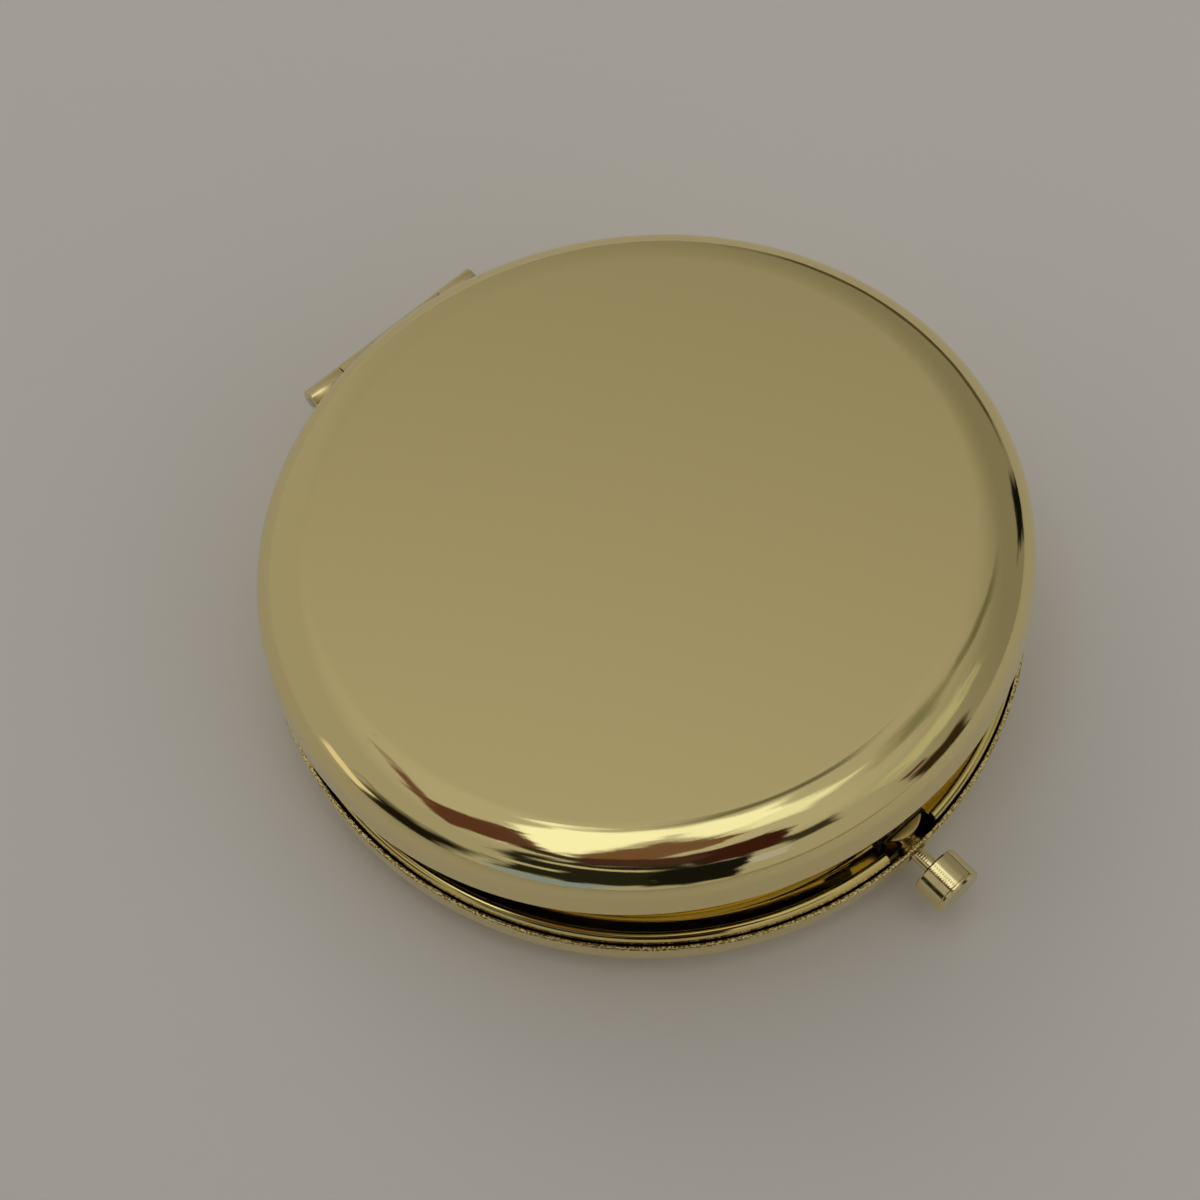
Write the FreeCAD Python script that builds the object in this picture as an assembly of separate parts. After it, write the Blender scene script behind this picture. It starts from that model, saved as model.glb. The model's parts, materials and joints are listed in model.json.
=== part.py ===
import FreeCAD, Part
import math
import os

from FreeCAD import Vector

# Round pocket compact: two drawn shells on a five-knuckle hinge, a mirror in each,
# and a sprung push-knob at the front that draws the latch away from the lid's hook.
# Millimetres. +Z up, origin at the middle of the base's underside, hinge at +Y, knob at -Y.

# Shells
shell_radius = 35.0
shell_sheet = 0.35
shoulder_width = 5.5
wall_height = 1.8
base_height = 6.0
lid_height = 6.0
seam_gap = 0.25
lid_rest_angle = 7.8

# Inner trays
tray_sheet = 0.3
tray_gap = 0.22
seat_gap = 0.05
lip_rise = 1.0
lip_width = 0.85
lip_outer_round = 0.6
lip_inner_round = 0.2
edge_round = 0.3
valley_rise = 0.175
slope_rise = 0.28
step_rise = 0.33
step_setback = 1.18
crest_rise = 0.55
brink_rise = 0.2
closing_gap = 0.15
lid_bezel_rise = 0.45

# Mirrors and their adhesive pads
glass_thickness = 1.8
glass_bevel = 0.25
glass_clearance = 0.2
glass_recess = 0.5
magnifier_sag = 0.7
pad_thickness = 0.4
pad_inset = 1.0

# Hinge
hinge_length = 20.6
knuckle_count = 5
knuckle_gap = 0.1
barrel_radius = 1.2
pin_radius = 0.5
press_clearance = 0.01
running_clearance = 0.03
leaf_sheet = 0.4
leaf_margin = 0.5
lip_clearance = 0.08
notch_clearance = 0.1
notch_side_clearance = 0.2

# Push-knob and stem
plunger_drop = 1.1
stem_radius = 0.75
stem_clearance = 0.1
stem_show = 2.0
knob_radius = 2.4
knob_length = 3.15
knob_chamfer = 0.2
knob_inner_chamfer = 0.15
knob_dish = 0.12
knob_bore_depth = 2.2
spigot_radius = 0.55
peen_radius = 0.95
peen_height = 0.3
stroke = 1.3

# Latch, from the front wall inwards
stop_gap = 0.1
washer_thickness = 0.35
washer_radius = 1.35
ring_gap = 0.05
clip_thickness = 0.3
clip_radius = 1.2
clip_mouth = 0.9
hook_room = 0.7
slide_sheet = 0.4
slide_width = 4.6
slide_bend = 0.1
nose_width = 3.8
nose_rise = 0.5
nose_round = 0.12
spring_length = 2.4
spring_wire = 0.25
spring_radius = 1.3
spring_turns = 3
spring_end_gap = 0.05
bracket_sheet = 0.4
bracket_width = 4.8
bracket_top_drop = 0.2
bracket_foot = 3.0
bracket_bend = 1.0
bend_clearance = 0.05
bracket_gap = 0.25
latch_notch_width = 5.7
catch_sheet = 0.4
catch_width = 3.8
catch_gap = 0.1
catch_clearance = 0.15
catch_height = 1.5
catch_ramp = 0.4
catch_barb_height = 0.25
engagement = 0.5
slide_clearance = 0.3

# Places worked out from the sizes above
shoulder_height = base_height - wall_height
lid_shoulder_height = lid_height - wall_height
wall_inside = shell_radius - shell_sheet
lip_outer = wall_inside - tray_gap
lip_inner = lip_outer - lip_width
lip_top = base_height + lip_rise
lid_rim = base_height + seam_gap
lid_top = lid_rim + lid_height

hinge_y = lip_outer + lip_clearance + barrel_radius
hinge_z = base_height + seam_gap / 2
notch_half = hinge_length / 2 + notch_side_clearance
notch_reach = barrel_radius + notch_clearance
leaf_outer = wall_inside - seat_gap
leaf_inner = leaf_outer - leaf_sheet

plunger_z = base_height - plunger_drop
washer_y = -wall_inside + stop_gap
clip_y = washer_y + washer_thickness + ring_gap
web_y = clip_y + clip_thickness + hook_room
web_back = web_y + slide_sheet
bracket_y = web_back + spring_length
bracket_back = bracket_y + bracket_sheet
nose_tip = -wall_inside + catch_gap + catch_sheet + catch_clearance
nose_bottom = lip_top + nose_rise
nose_top = nose_bottom + slide_sheet
knob_y = -shell_radius - stem_show

recess_outer = -bracket_back - bracket_gap
recess_radius = recess_outer - tray_sheet
glass_radius = recess_radius - glass_clearance
base_brink = base_height + brink_rise
base_glass_top = base_brink - glass_recess
base_pad_top = base_glass_top - glass_thickness
base_floor_top = base_pad_top - pad_thickness
lid_face = lip_top + closing_gap
lid_brink = lid_face + lid_bezel_rise
lid_glass_face = lid_brink + glass_recess
lid_pad_face = lid_glass_face + glass_thickness
lid_floor_face = lid_pad_face + pad_thickness

far = 4 * shell_radius
middle = Vector(0, 0, 0)
x_axis = Vector(1, 0, 0)
y_axis = Vector(0, 1, 0)
z_axis = Vector(0, 0, 1)


def section(r, z):
    return Vector(r, 0, z)


def line(p, q):
    return Part.LineSegment(p, q).toShape()


def arc(p, m, q):
    return Part.Arc(p, m, q).toShape()


def outline(points):
    return [line(p, q) for p, q in zip(points, points[1:])]


def turn(edges, axis):
    face = Part.Face(Part.Wire(edges))
    solid = face.revolve(middle, axis, 360)
    return Part.Solid(solid) if solid.ShapeType == "Shell" else solid


def block(x0, x1, y0, y1, z0, z1):
    return Part.makeBox(x1 - x0, y1 - y0, z1 - z0, Vector(x0, y0, z0))


def rod(radius, start, length, axis):
    return Part.makeCylinder(radius, length, start, axis)


def ring(outer, inner, z0, z1):
    hole = rod(inner, section(0, z0), z1 - z0, z_axis)
    return rod(outer, section(0, z0), z1 - z0, z_axis).cut(hole)


def ellipse_quarter(centre, across, down):
    """Quarter of an ellipse from its outer side to its lowest point."""
    side = centre + Vector(across, 0, 0)
    foot = centre - Vector(0, 0, down)
    if across >= down:
        whole = Part.Ellipse(side, foot, centre)
        return Part.Arc(whole, 0, math.pi / 2).toShape()
    whole = Part.Ellipse(foot, side, centre)
    return Part.Arc(whole, 0, math.pi / 2).toShape()


def shoulder_inside(r, height):
    """How far the inner face of a shell's rounded edge lies above its outer bottom."""
    share = (r - shell_radius + shoulder_width) / (shoulder_width - shell_sheet)
    return height - (height - shell_sheet) * math.sqrt(max(0.0, 1 - max(0.0, share) ** 2))


def circle_through(p, m, q):
    circle = Part.Circle(p, m, q)
    return circle.Center.x, circle.Center.z, circle.Radius


def height_on(circle, r, side):
    """Height of a circle at radius r, on its upper (+1) or lower (-1) side."""
    cx, cz, radius = circle
    return cz + side * math.sqrt(radius**2 - (r - cx) ** 2)


def bend_arc(circle, r_from, r_to, side):
    """Piece of a circle between two radii."""
    r_mid = (r_from + r_to) / 2
    points = [section(r, height_on(circle, r, side)) for r in (r_from, r_mid, r_to)]
    return arc(*points)


def dish(height):
    """A drawn shell, open side up: flat bottom, rounded edge, straight wall, cut rim."""
    start = shell_radius - shoulder_width
    rise = height - wall_height
    centre = section(start, rise)
    edges = [
        line(section(0, 0), section(start, 0)),
        ellipse_quarter(centre, shoulder_width, rise),
        line(section(shell_radius, rise), section(shell_radius, height)),
        line(section(shell_radius, height), section(wall_inside, height)),
        line(section(wall_inside, height), section(wall_inside, rise)),
        ellipse_quarter(centre, shoulder_width - shell_sheet, rise - shell_sheet),
        line(section(start, shell_sheet), section(0, shell_sheet)),
        line(section(0, shell_sheet), section(0, 0)),
    ]
    return turn(edges, z_axis)


def open_lid(shape):
    """Turn a piece of the closed lid to where it stands at rest."""
    shape.rotate(Vector(0, hinge_y, hinge_z), Vector(-1, 0, 0), lid_rest_angle)
    return shape


def hinge_notch(z0, z1):
    return block(-notch_half, notch_half, 0, far, z0, z1)


def base_shell():
    shell = dish(base_height)
    shell = shell.cut(hinge_notch(hinge_z - notch_reach, far))
    hole = rod(stem_radius + stem_clearance, Vector(0, -far, plunger_z), far, y_axis)
    return shell.cut(hole)


def lid_shell():
    shell = dish(lid_height)
    shell.rotate(middle, x_axis, 180)
    shell.translate(Vector(0, 0, lid_top))
    return shell.cut(hinge_notch(0, hinge_z + notch_reach))


def base_tray():
    foot = shoulder_inside(lip_outer, shoulder_height) + seat_gap
    step_r = lip_inner - step_setback
    brink = section(recess_radius, base_brink)
    crest = section((recess_radius + step_r) / 2, base_height + crest_rise)
    step = section(step_r, base_height + step_rise)
    slope = section((step_r + lip_inner) / 2, base_height + slope_rise)
    low = section(lip_inner, base_height + valley_rise)
    bead = circle_through(brink, crest, step)
    apron = circle_through(step, slope, low)
    under_bead = (bead[0], bead[1] - tray_sheet, bead[2])
    under_apron = (apron[0], apron[1] - tray_sheet, apron[2])
    wall_r = lip_outer - tray_sheet
    under_in = height_on(under_bead, recess_outer, 1)
    under_out = height_on(under_apron, lip_inner, 1)
    floor_bottom = base_floor_top - tray_sheet
    inner_start = section(lip_inner, lip_top - lip_inner_round)
    inner_end = section(lip_inner + lip_inner_round, lip_top)
    outer_start = section(lip_outer - lip_outer_round, lip_top)
    outer_end = section(lip_outer, lip_top - lip_outer_round)
    inner_slant = lip_inner_round * (1 - math.sqrt(0.5))
    outer_slant = lip_outer_round * (1 - math.sqrt(0.5))
    edges = [
        line(section(0, base_floor_top), section(recess_radius, base_floor_top)),
        line(section(recess_radius, base_floor_top), brink),
        arc(brink, crest, step),
        arc(step, slope, low),
        line(low, inner_start),
        arc(inner_start, section(lip_inner + inner_slant, lip_top - inner_slant), inner_end),
        line(inner_end, outer_start),
        arc(outer_start, section(lip_outer - outer_slant, lip_top - outer_slant), outer_end),
    ]
    edges += outline(
        [
            outer_end,
            section(lip_outer, foot),
            section(wall_r, foot),
            section(wall_r, under_out),
            section(lip_inner, under_out),
        ]
    )
    edges.append(bend_arc(under_apron, lip_inner, step_r, 1))
    edges.append(bend_arc(under_bead, step_r, recess_outer, 1))
    edges += outline(
        [
            section(recess_outer, under_in),
            section(recess_outer, floor_bottom),
            section(0, floor_bottom),
            section(0, base_floor_top),
        ]
    )
    tray = turn(edges, z_axis)
    relief_top = hinge_z - barrel_radius + leaf_sheet + notch_clearance
    relief = hinge_notch(0, relief_top).cut(rod(wall_r - seat_gap, middle, far, z_axis))
    notch_half_width = latch_notch_width / 2
    notch_end = -recess_outer - notch_clearance
    latch_notch = block(-notch_half_width, notch_half_width, -far, notch_end, 0, far)
    return tray.cut(relief).cut(latch_notch)


def lid_tray():
    wall_r = lip_outer - tray_sheet
    head = lid_top - shoulder_inside(lip_outer, lid_shoulder_height) - seat_gap
    turn_r = lip_outer - edge_round
    slant = edge_round * (1 - math.sqrt(0.5))
    face_start = section(turn_r, lid_face)
    brink = section(recess_radius, lid_brink)
    bulge = section((turn_r + recess_radius) / 2, lid_face + lid_bezel_rise / 4)
    below = circle_through(face_start, bulge, brink)
    above = (below[0], below[1], below[2] - tray_sheet)
    above_out = height_on(above, wall_r, -1)
    above_in = height_on(above, recess_outer, -1)
    floor_back = lid_floor_face + tray_sheet
    edges = [
        arc(face_start, bulge, brink),
        line(brink, section(recess_radius, lid_floor_face)),
    ]
    edges += outline(
        [
            section(recess_radius, lid_floor_face),
            section(0, lid_floor_face),
            section(0, floor_back),
            section(recess_outer, floor_back),
            section(recess_outer, above_in),
        ]
    )
    edges.append(bend_arc(above, recess_outer, wall_r, -1))
    edges += outline(
        [
            section(wall_r, above_out),
            section(wall_r, head),
            section(lip_outer, head),
            section(lip_outer, lid_face + edge_round),
        ]
    )
    edges.append(
        arc(
            section(lip_outer, lid_face + edge_round),
            section(lip_outer - slant, lid_face + slant),
            face_start,
        )
    )
    tray = turn(edges, z_axis)
    leaf_top = lid_top - shoulder_inside(leaf_outer, lid_shoulder_height)
    relief = hinge_notch(0, leaf_top).cut(rod(wall_r - seat_gap, middle, far, z_axis))
    notch_half_width = latch_notch_width / 2
    notch_end = web_back + stroke + slide_clearance
    latch_notch = block(-notch_half_width, notch_half_width, -far, notch_end, 0, far)
    return tray.cut(relief).cut(latch_notch)


def base_mirror():
    """Concave magnifying glass, thinnest in the middle."""
    rim_r = glass_radius - glass_bevel
    rim = section(rim_r, base_glass_top)
    centre = section(0, base_glass_top - magnifier_sag)
    bowl = circle_through(section(-rim_r, base_glass_top), centre, rim)
    edges = outline(
        [
            centre,
            section(0, base_pad_top),
            section(glass_radius, base_pad_top),
            section(glass_radius, base_glass_top - glass_bevel),
            rim,
        ]
    )
    edges.append(bend_arc(bowl, rim_r, 0, -1))
    return turn(edges, z_axis)


def lid_mirror():
    points = [
        section(0, lid_glass_face),
        section(glass_radius - glass_bevel, lid_glass_face),
        section(glass_radius, lid_glass_face + glass_bevel),
        section(glass_radius, lid_pad_face),
        section(0, lid_pad_face),
        section(0, lid_glass_face),
    ]
    return turn(outline(points), z_axis)


def pad(bottom):
    return rod(glass_radius - pad_inset, section(0, bottom), pad_thickness, z_axis)


def knuckle_spans(first):
    """Left and right ends of every second knuckle along the hinge."""
    pitch = (hinge_length + knuckle_gap) / knuckle_count
    spans = []
    for index in range(first, knuckle_count, 2):
        left = -hinge_length / 2 + index * pitch
        spans.append((left, left + pitch - knuckle_gap))
    return spans


def hinge_leaf(first, web_low, web_inner, plate_low, plate_high, bore):
    """Curved leaf soldered to a shell's wall, with a rolled knuckle on each of its webs."""
    half = hinge_length / 2 - leaf_margin
    window = block(-half, half, 0, far, plate_low, plate_high)
    leaf = ring(leaf_outer, leaf_inner, plate_low, plate_high).common(window)
    core = rod(web_inner, section(0, -far), 2 * far, z_axis)
    for left, right in knuckle_spans(first):
        barrel = rod(barrel_radius, Vector(left, hinge_y, hinge_z), right - left, x_axis)
        web = block(left, right, 0, hinge_y, web_low, web_low + leaf_sheet).cut(core)
        trim = max(left, -half), min(right, half)
        web = web.common(block(trim[0], trim[1], 0, far, -far, far))
        leaf = leaf.fuse(barrel).fuse(web)
    hole = rod(bore, Vector(-far, hinge_y, hinge_z), 2 * far, x_axis)
    return leaf.cut(hole).removeSplitter()


def hinge_base_leaf():
    plate_low = shoulder_inside(leaf_outer, shoulder_height) + seat_gap
    web_low = hinge_z - barrel_radius
    bore = pin_radius + press_clearance
    return hinge_leaf(0, web_low, leaf_inner, plate_low, web_low + leaf_sheet, bore)


def hinge_lid_leaf():
    web_low = hinge_z + barrel_radius - leaf_sheet
    plate_high = lid_top - shoulder_inside(leaf_outer, lid_shoulder_height) - seat_gap
    bore = pin_radius + running_clearance
    web_inner = lip_outer + closing_gap
    return hinge_leaf(1, web_low, web_inner, lid_face, plate_high, bore)


def hinge_pin():
    return rod(pin_radius, Vector(-hinge_length / 2, hinge_y, hinge_z), hinge_length, x_axis)


def turn_on_plunger(points):
    """Solid of revolution about the plunger's axis, from (radius, y) points."""
    ring_points = [Vector(r, y, 0) for r, y in points]
    solid = turn(outline(ring_points + ring_points[:1]), y_axis)
    solid.translate(Vector(0, 0, plunger_z))
    return solid


def push_knob():
    tip = knob_y - knob_length
    bore = stem_radius + press_clearance
    return turn_on_plunger(
        [
            (0, tip + knob_dish),
            (knob_radius - 2 * knob_chamfer, tip),
            (knob_radius - knob_chamfer, tip),
            (knob_radius, tip + knob_chamfer),
            (knob_radius, knob_y - knob_inner_chamfer),
            (knob_radius - knob_inner_chamfer, knob_y),
            (bore, knob_y),
            (bore, knob_y - knob_bore_depth),
            (0, knob_y - knob_bore_depth),
        ]
    )


def plunger_stem():
    spigot_end = web_back
    return turn_on_plunger(
        [
            (0, knob_y - knob_bore_depth),
            (stem_radius, knob_y - knob_bore_depth),
            (stem_radius, clip_y - press_clearance),
            (spigot_radius, clip_y - press_clearance),
            (spigot_radius, clip_y + clip_thickness + press_clearance),
            (stem_radius, clip_y + clip_thickness + press_clearance),
            (stem_radius, web_y),
            (spigot_radius, web_y),
            (spigot_radius, spigot_end),
            (peen_radius, spigot_end),
            (spigot_radius, spigot_end + peen_height),
            (0, spigot_end + peen_height),
        ]
    )


def stop_washer():
    inner = stem_radius + running_clearance
    back = washer_y + washer_thickness
    corners = [(inner, washer_y), (washer_radius, washer_y), (washer_radius, back), (inner, back)]
    return turn_on_plunger(corners)


def stem_clip():
    """Open snap ring in the stem's groove, its mouth downwards."""
    inner = spigot_radius + press_clearance
    back = clip_y + clip_thickness
    whole = turn_on_plunger([(inner, clip_y), (clip_radius, clip_y), (clip_radius, back), (inner, back)])
    mouth = block(-clip_mouth / 2, clip_mouth / 2, -far, far, -far, plunger_z)
    return whole.cut(mouth)


def latch_slide():
    """Bent sheet bolt: a web on the stem and a round-nosed flange that reaches out over the hook."""
    half = slide_width / 2
    outer_bend = slide_sheet + slide_bend
    flange_y = web_y - slide_bend
    web_low = shoulder_inside(math.hypot(web_y, half), shoulder_height) + slide_clearance
    slant_out = outer_bend * (1 - math.sqrt(0.5))
    slant_in = slide_bend * (1 - math.sqrt(0.5))
    p = [
        Vector(-half, web_back, web_low),
        Vector(-half, web_back, nose_top - outer_bend),
        Vector(-half, web_back - slant_out, nose_top - slant_out),
        Vector(-half, flange_y, nose_top),
        Vector(-half, flange_y, nose_bottom),
        Vector(-half, web_y - slant_in, nose_bottom - slant_in),
        Vector(-half, web_y, nose_bottom - slide_bend),
        Vector(-half, web_y, web_low),
    ]
    edges = [line(p[0], p[1]), arc(p[1], p[2], p[3]), line(p[3], p[4])]
    edges += [arc(p[4], p[5], p[6])] + outline([p[6], p[7], p[0]])
    body = Part.Face(Part.Wire(edges)).extrude(Vector(slide_width, 0, 0))
    nose_half = nose_width / 2
    root_y = flange_y + slide_bend / 2
    left = Vector(-nose_half, flange_y, nose_bottom)
    right = Vector(nose_half, flange_y, nose_bottom)
    left_root = Vector(-nose_half, root_y, nose_bottom)
    right_root = Vector(nose_half, root_y, nose_bottom)
    rim = [arc(left, Vector(0, nose_tip, nose_bottom), right)]
    rim += outline([right, right_root, left_root, left])
    nose = Part.Face(Part.Wire(rim)).extrude(Vector(0, 0, slide_sheet))
    upper = [edge for edge in nose.Edges if edge.BoundBox.ZMin > nose_bottom + slide_sheet / 2]
    front = min(upper, key=lambda edge: edge.BoundBox.YMin)
    nose = nose.makeFillet(nose_round, [front])
    hole = rod(spigot_radius + press_clearance, Vector(0, -far, plunger_z), 2 * far, y_axis)
    return body.fuse(nose).removeSplitter().cut(hole)


def spring_bracket():
    """L-shaped bracket: the upright backs the spring, the bend clears the shell's rounded edge."""
    half = bracket_width / 2
    floor = shell_sheet
    top = base_height - bracket_top_drop
    foot_end = bracket_back + bracket_foot
    past_flat = math.hypot(bracket_y, half) - (shell_radius - shoulder_width)
    bend = max(bracket_bend, past_flat + bend_clearance)
    inner = bend - bracket_sheet
    slant_out = bend * (1 - math.sqrt(0.5))
    slant_in = inner * (1 - math.sqrt(0.5))
    corner_y = bracket_y + bracket_sheet
    corner_z = floor + bracket_sheet
    p = [
        Vector(-half, bracket_y, top),
        Vector(-half, bracket_y, floor + bend),
        Vector(-half, bracket_y + slant_out, floor + slant_out),
        Vector(-half, bracket_y + bend, floor),
        Vector(-half, foot_end, floor),
        Vector(-half, foot_end, corner_z),
        Vector(-half, corner_y + inner, corner_z),
        Vector(-half, corner_y + slant_in, corner_z + slant_in),
        Vector(-half, corner_y, corner_z + inner),
        Vector(-half, corner_y, top),
    ]
    edges = [line(p[0], p[1]), arc(p[1], p[2], p[3])] + outline(p[3:7])
    edges += [arc(p[6], p[7], p[8])] + outline([p[8], p[9], p[0]])
    return Part.Face(Part.Wire(edges)).extrude(Vector(bracket_width, 0, 0))


def lid_catch():
    """Hook with a ramp below and a flat top that stops under the latch's nose."""
    half = catch_width / 2
    outer = -wall_inside + catch_gap
    inner = outer + catch_sheet
    tip = nose_tip + engagement
    barb_top = nose_bottom - catch_clearance
    barb_low = barb_top - catch_barb_height
    bottom = barb_low - catch_ramp
    points = [
        Vector(-half, outer, barb_top + catch_height - catch_ramp),
        Vector(-half, outer, bottom),
        Vector(-half, inner - catch_sheet / 2, bottom),
        Vector(-half, tip, barb_low),
        Vector(-half, tip, barb_top),
        Vector(-half, inner, barb_top),
        Vector(-half, inner, barb_top + catch_height - catch_ramp),
    ]
    face = Part.Face(Part.Wire(outline(points + points[:1])))
    return face.extrude(Vector(catch_width, 0, 0))


def biarc(p0, t0, p1, t1):
    """Two circular arcs from p0 to p1 that leave along t0 and arrive along t1."""
    chord = p1 - p0
    both = t0 + t1
    a = 2 * (t0.dot(t1) - 1)
    b = -2 * chord.dot(both)
    c = chord.dot(chord)
    reach = (-b - math.sqrt(b * b - 4 * a * c)) / (2 * a)
    if reach < 0:
        reach = (-b + math.sqrt(b * b - 4 * a * c)) / (2 * a)
    joint = (p0 + t0 * reach + p1 - t1 * reach) * 0.5
    arcs = []
    for start, corner, end in ((p0, p0 + t0 * reach, joint), (joint, p1 - t1 * reach, p1)):
        half_way = (start + end) * 0.5
        lean = corner - half_way
        half_chord = (end - start).Length / 2
        angle = math.atan2(lean.Length, half_chord)
        lean.normalize()
        arcs.append(arc(start, half_way + lean * (half_chord * math.tan(angle / 2)), end))
    return arcs


def return_spring():
    """Coil spring on the plunger's axis: one unbroken wire, straight for a diameter at each end."""
    first = web_back + spring_end_gap + spring_wire / 2
    last = bracket_y - spring_end_gap - spring_wire / 2
    pitch = (last - first) / spring_turns

    def place(angle):
        y = first + pitch * angle / (2 * math.pi)
        return Vector(spring_radius * math.cos(angle), y, plunger_z + spring_radius * math.sin(angle))

    def heading(angle):
        rise = pitch / (2 * math.pi)
        way = Vector(-spring_radius * math.sin(angle), rise, spring_radius * math.cos(angle))
        return way.normalize()

    quarter = math.pi / 2
    count = spring_turns * 4
    edges = []
    for index in range(count):
        a0, a1 = index * quarter, (index + 1) * quarter
        edges += biarc(place(a0), heading(a0), place(a1), heading(a1))
    a_end = count * quarter
    start = place(0) - heading(0) * spring_wire
    tail = place(a_end) + heading(a_end) * spring_wire
    path = Part.Wire([line(start, place(0))] + edges + [line(place(a_end), tail)])
    profile = Part.Wire([Part.Circle(start, heading(0), spring_wire / 2).toShape()])
    shell = Part.BRepOffsetAPI.MakePipeShell(path)
    shell.add(profile)
    shell.build()
    shell.makeSolid()
    steps = 24
    points = [place(2 * math.pi * i / steps) for i in range(spring_turns * steps + 1)]
    gaps = [(p - q).Length for i, p in enumerate(points) for q in points[i + steps // 2:]]
    print("return_spring least gap to itself, mm:", round(min(gaps) - spring_wire, 3))
    return shell.shape()


def lid_mirror_pad():
    return pad(lid_pad_face)


def base_mirror_pad():
    return pad(base_floor_top)


base_pieces = [
    base_shell,
    base_tray,
    base_mirror_pad,
    base_mirror,
    hinge_base_leaf,
    hinge_pin,
    spring_bracket,
    return_spring,
    push_knob,
    plunger_stem,
    stop_washer,
    stem_clip,
    latch_slide,
]
lid_pieces = [lid_shell, lid_tray, lid_mirror_pad, lid_mirror, hinge_lid_leaf, lid_catch]

os.makedirs("parts", exist_ok=True)
for make in base_pieces:
    make().exportStep(f"parts/{make.__name__}.step")
for make in lid_pieces:
    open_lid(make()).exportStep(f"parts/{make.__name__}.step")
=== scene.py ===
# %% [markdown]
# # A pocket compact in polished gold plating
#
# The object is a round folding mirror: two pressed metal shells on a hinge, a mirror in
# each half, and a sprung knob at the front that lets the lid go. It lies on a table with
# its lid ajar. The frame holds plain solids of all its parts, in metres. They could be
# dressed with materials alone, but polish shows every facet, so most pieces are drawn again
# here, finer and in the same place, and hung on the same moving bodies.

# %% Load the frame
import json
import math

import bmesh
import bpy
from mathutils import Matrix, Vector


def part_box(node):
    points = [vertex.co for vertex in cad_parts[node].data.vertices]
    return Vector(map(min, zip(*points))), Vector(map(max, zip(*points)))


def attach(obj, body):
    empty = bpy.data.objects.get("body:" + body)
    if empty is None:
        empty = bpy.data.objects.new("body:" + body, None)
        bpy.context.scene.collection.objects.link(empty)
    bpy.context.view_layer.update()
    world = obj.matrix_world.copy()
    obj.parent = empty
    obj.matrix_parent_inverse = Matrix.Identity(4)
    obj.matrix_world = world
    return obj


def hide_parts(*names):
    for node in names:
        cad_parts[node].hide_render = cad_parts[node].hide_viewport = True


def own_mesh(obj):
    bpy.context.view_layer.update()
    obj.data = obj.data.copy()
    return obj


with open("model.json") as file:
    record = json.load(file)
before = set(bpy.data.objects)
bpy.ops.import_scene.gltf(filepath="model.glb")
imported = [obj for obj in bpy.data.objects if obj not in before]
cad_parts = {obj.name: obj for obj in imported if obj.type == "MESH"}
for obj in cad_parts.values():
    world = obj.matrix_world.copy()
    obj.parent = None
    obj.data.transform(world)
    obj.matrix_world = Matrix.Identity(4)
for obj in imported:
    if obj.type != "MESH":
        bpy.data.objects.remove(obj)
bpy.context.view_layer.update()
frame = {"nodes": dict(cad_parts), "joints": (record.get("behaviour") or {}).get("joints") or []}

print("frame:", sorted(frame["nodes"]))

# %% [markdown]
# ## Where the parts are
#
# Pieces are drawn in millimetres about the frame's origin, because small sizes are easier to
# read that way, and scaled to metres when they are finished. Places and large sizes are read
# from the frame's joints and boxes, so that the drawn pieces follow it. Small sizes, such as
# the thickness of a sheet, are named in the cell that first needs them.

# %% Read the joints and boxes
MM = 0.001
joints = {joint["name"]: joint for joint in frame["joints"]}
hinge_y = joints["lid_hinge"]["pos_m"][1] / MM
hinge_z = joints["lid_hinge"]["pos_m"][2] / MM
lid_rest_angle = math.radians(-joints["lid_hinge"]["range_deg"][0])
knob_stroke = joints["plunger_press"]["range_m"][1] / MM


def box_mm(name):
    """The low and high corner of a part at rest, in millimetres."""
    low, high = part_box(name)
    return low / MM, high / MM


shell_high = box_mm("base_shell")[1]
shell_radius = shell_high.x
base_height = shell_high.z
lid_rim = 2 * hinge_z - base_height
lid_top = lid_rim + base_height
print(f"shell {2 * shell_radius:.1f} mm across, closed height {lid_top:.2f} mm")

# %% [markdown]
# ## Small helpers for materials
#
# Colours are picked as sRGB hex values, as on a paint chart, and the shader wants linear
# light, so one function converts them. A second fills a node's sockets, and links those that
# are given another node's output. A third adds any node with its settings. The last two
# start a material and turn a real size in millimetres into a texture scale.


# %% Colour and node helpers
def linear(hex_colour):
    """An sRGB hex colour as linear light with full alpha."""
    channels = [int(hex_colour[i : i + 2], 16) / 255 for i in (1, 3, 5)]
    light = [c / 12.92 if c <= 0.04045 else ((c + 0.055) / 1.055) ** 2.4 for c in channels]
    return light + [1.0]


def fill(node, sockets):
    """Set a node's sockets, and link those that are given another node's output."""
    for name, value in sockets.items():
        if isinstance(value, bpy.types.NodeSocket):
            node.id_data.links.new(value, node.inputs[name])
        else:
            node.inputs[name].default_value = value


def add(tree, kind, sockets=None, **settings):
    """Add a shader node with its settings, and fill its sockets."""
    made = tree.nodes.new("ShaderNode" + kind)
    for name, value in settings.items():
        setattr(made, name, value)
    fill(made, sockets or {})
    return made


def start_material(name, **sockets):
    """A material with one Principled shader, and the place on the piece for its patterns."""
    material = bpy.data.materials.new(name)
    material.use_nodes = True
    tree = material.node_tree
    shader = tree.nodes["Principled BSDF"]
    fill(shader, sockets)
    place = add(tree, "TexCoord").outputs["Object"]
    return material, tree, shader, place


def per_metre(size_mm):
    """Texture scale that gives features of about this size on a piece drawn in metres."""
    return 1 / (size_mm * MM)


print("material helpers ready")

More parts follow.
